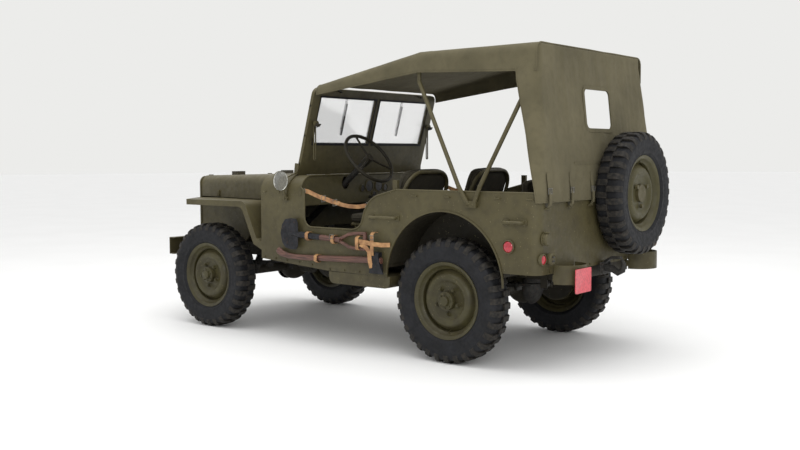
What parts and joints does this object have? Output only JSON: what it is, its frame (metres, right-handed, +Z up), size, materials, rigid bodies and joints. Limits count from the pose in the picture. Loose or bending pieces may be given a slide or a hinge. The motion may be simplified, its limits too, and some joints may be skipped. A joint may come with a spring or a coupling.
{
  "type": "light army 4x4 utility car",
  "caption": "Open light 4x4 army utility car with a canvas top on bows, an upright folding-type windscreen, a spare wheel behind, side-mounted shovel and axe, steering and rolling wheels.",
  "frame": {"origin": "on the ground, under the middle of the car's bounding box", "axes": "+X forward, +Y to the left side, +Z up"},
  "size_m": [3.362, 1.619, 1.775],
  "materials": {
    "olive": "matt",
    "dark_frame": "matt",
    "iron": "matt",
    "rim": "satin",
    "rubber": "matt",
    "canvas": "matt",
    "seat": "matt",
    "glass": "clear",
    "wood": "matt",
    "strap": "matt",
    "red_lens": "gloss",
    "red_plate": "satin",
    "lamp": "clear"
  },
  "bodies": {
    "chassis": {"chassis_frame": "dark_frame", "front_bumper": "olive", "front_axle": "dark_frame", "rear_axle": "dark_frame", "leaf_springs": "iron", "engine_block": "iron", "gearbox": "iron", "propeller_shafts": "iron", "exhaust": "iron", "radiator": "iron", "fuel_tank": "olive", "floor": "olive", "body_sides": "olive", "rear_panel": "olive", "wheel_houses": "olive", "cowl": "olive", "dash_panel": "olive", "grille": "olive", "headlights": "lamp", "front_fenders": "olive", "windscreen_frame": "olive", "windscreen_glass": "glass", "windscreen_arms": "olive", "wipers": "iron", "steering_box": "iron", "levers_and_pedals": "iron", "front_seat_frames": "olive", "rear_seat_frame": "olive", "seat_cushions": "seat", "canvas_top": "canvas", "top_bows": "olive", "spare_tyre": "rubber", "spare_wheel": "rim", "spare_carrier": "olive", "bumperettes": "olive", "pintle_hook": "iron", "rear_lights": "red_lens", "number_plate": "red_plate", "grab_handles": "olive", "safety_straps": "strap", "shovel": "iron", "axe": "wood", "side_mirror": "olive"},
    "hood": {"hood": "olive", "hood_blocks": "wood"},
    "toolbox_lid_left": {"toolbox_lid_left": "olive"},
    "toolbox_lid_right": {"toolbox_lid_right": "olive"},
    "steering_wheel": {"steering_wheel": "dark_frame"},
    "knuckle_left": {"knuckle_left": "dark_frame"},
    "knuckle_right": {"knuckle_right": "dark_frame"},
    "tie_rod": {"tie_rod": "iron"},
    "wheel_front_left": {"tyre_front_left": "rubber", "wheel_front_left": "rim"},
    "wheel_front_right": {"tyre_front_right": "rubber", "wheel_front_right": "rim"},
    "wheel_rear_left": {"tyre_rear_left": "rubber", "wheel_rear_left": "rim"},
    "wheel_rear_right": {"tyre_rear_right": "rubber", "wheel_rear_right": "rim"}
  },
  "joints": [
    {"name": "steer_left", "type": "hinge", "parent": "chassis", "child": "knuckle_left", "pos_m": [1.147, 0.4905, 0.358], "axis": [0, 0, 1], "range_deg": [-26, 26]},
    {"name": "steer_right", "type": "hinge", "parent": "chassis", "child": "knuckle_right", "pos_m": [1.147, -0.5695, 0.358], "axis": [0, 0, 1], "range_deg": [-26, 26]},
    {"name": "tie_rod_pivot", "type": "hinge", "parent": "knuckle_left", "child": "tie_rod", "pos_m": [1.302, 0.4905, 0.308], "axis": [0, 0, 1], "range_deg": [-26, 26]},
    {"name": "steering_wheel_turn", "type": "hinge", "parent": "chassis", "child": "steering_wheel", "pos_m": [0.001, 0.2605, 1.16], "axis": [-0.788, 0, 0.6157], "range_deg": [-364, 364]},
    {"name": "front_left_wheel_spin", "type": "hinge", "parent": "knuckle_left", "child": "wheel_front_left", "pos_m": [1.147, 0.583, 0.358], "axis": [0, 1, 0], "continuous": true},
    {"name": "front_right_wheel_spin", "type": "hinge", "parent": "knuckle_right", "child": "wheel_front_right", "pos_m": [1.147, -0.662, 0.358], "axis": [0, 1, 0], "continuous": true},
    {"name": "rear_left_wheel_spin", "type": "hinge", "parent": "chassis", "child": "wheel_rear_left", "pos_m": [-0.885, 0.583, 0.358], "axis": [0, 1, 0], "continuous": true},
    {"name": "rear_right_wheel_spin", "type": "hinge", "parent": "chassis", "child": "wheel_rear_right", "pos_m": [-0.885, -0.662, 0.358], "axis": [0, 1, 0], "continuous": true},
    {"name": "hood_hinge", "type": "hinge", "parent": "chassis", "child": "hood", "pos_m": [0.572, -0.0395, 1.051], "axis": [0, -1, 0], "range_deg": [0, 110]},
    {"name": "toolbox_lid_left_hinge", "type": "hinge", "parent": "chassis", "child": "toolbox_lid_left", "pos_m": [-1.3, 0.5275, 0.8723], "axis": [0, 1, 0], "range_deg": [0, 85]},
    {"name": "toolbox_lid_right_hinge", "type": "hinge", "parent": "chassis", "child": "toolbox_lid_right", "pos_m": [-1.3, -0.6065, 0.8723], "axis": [0, 1, 0], "range_deg": [0, 85]}
  ],
  "couplings": [
    {"joint": "steer_right", "follows": "steer_left", "ratio": 1},
    {"joint": "tie_rod_pivot", "follows": "steer_left", "ratio": -1},
    {"joint": "steering_wheel_turn", "follows": "steer_left", "ratio": 14}
  ]
}
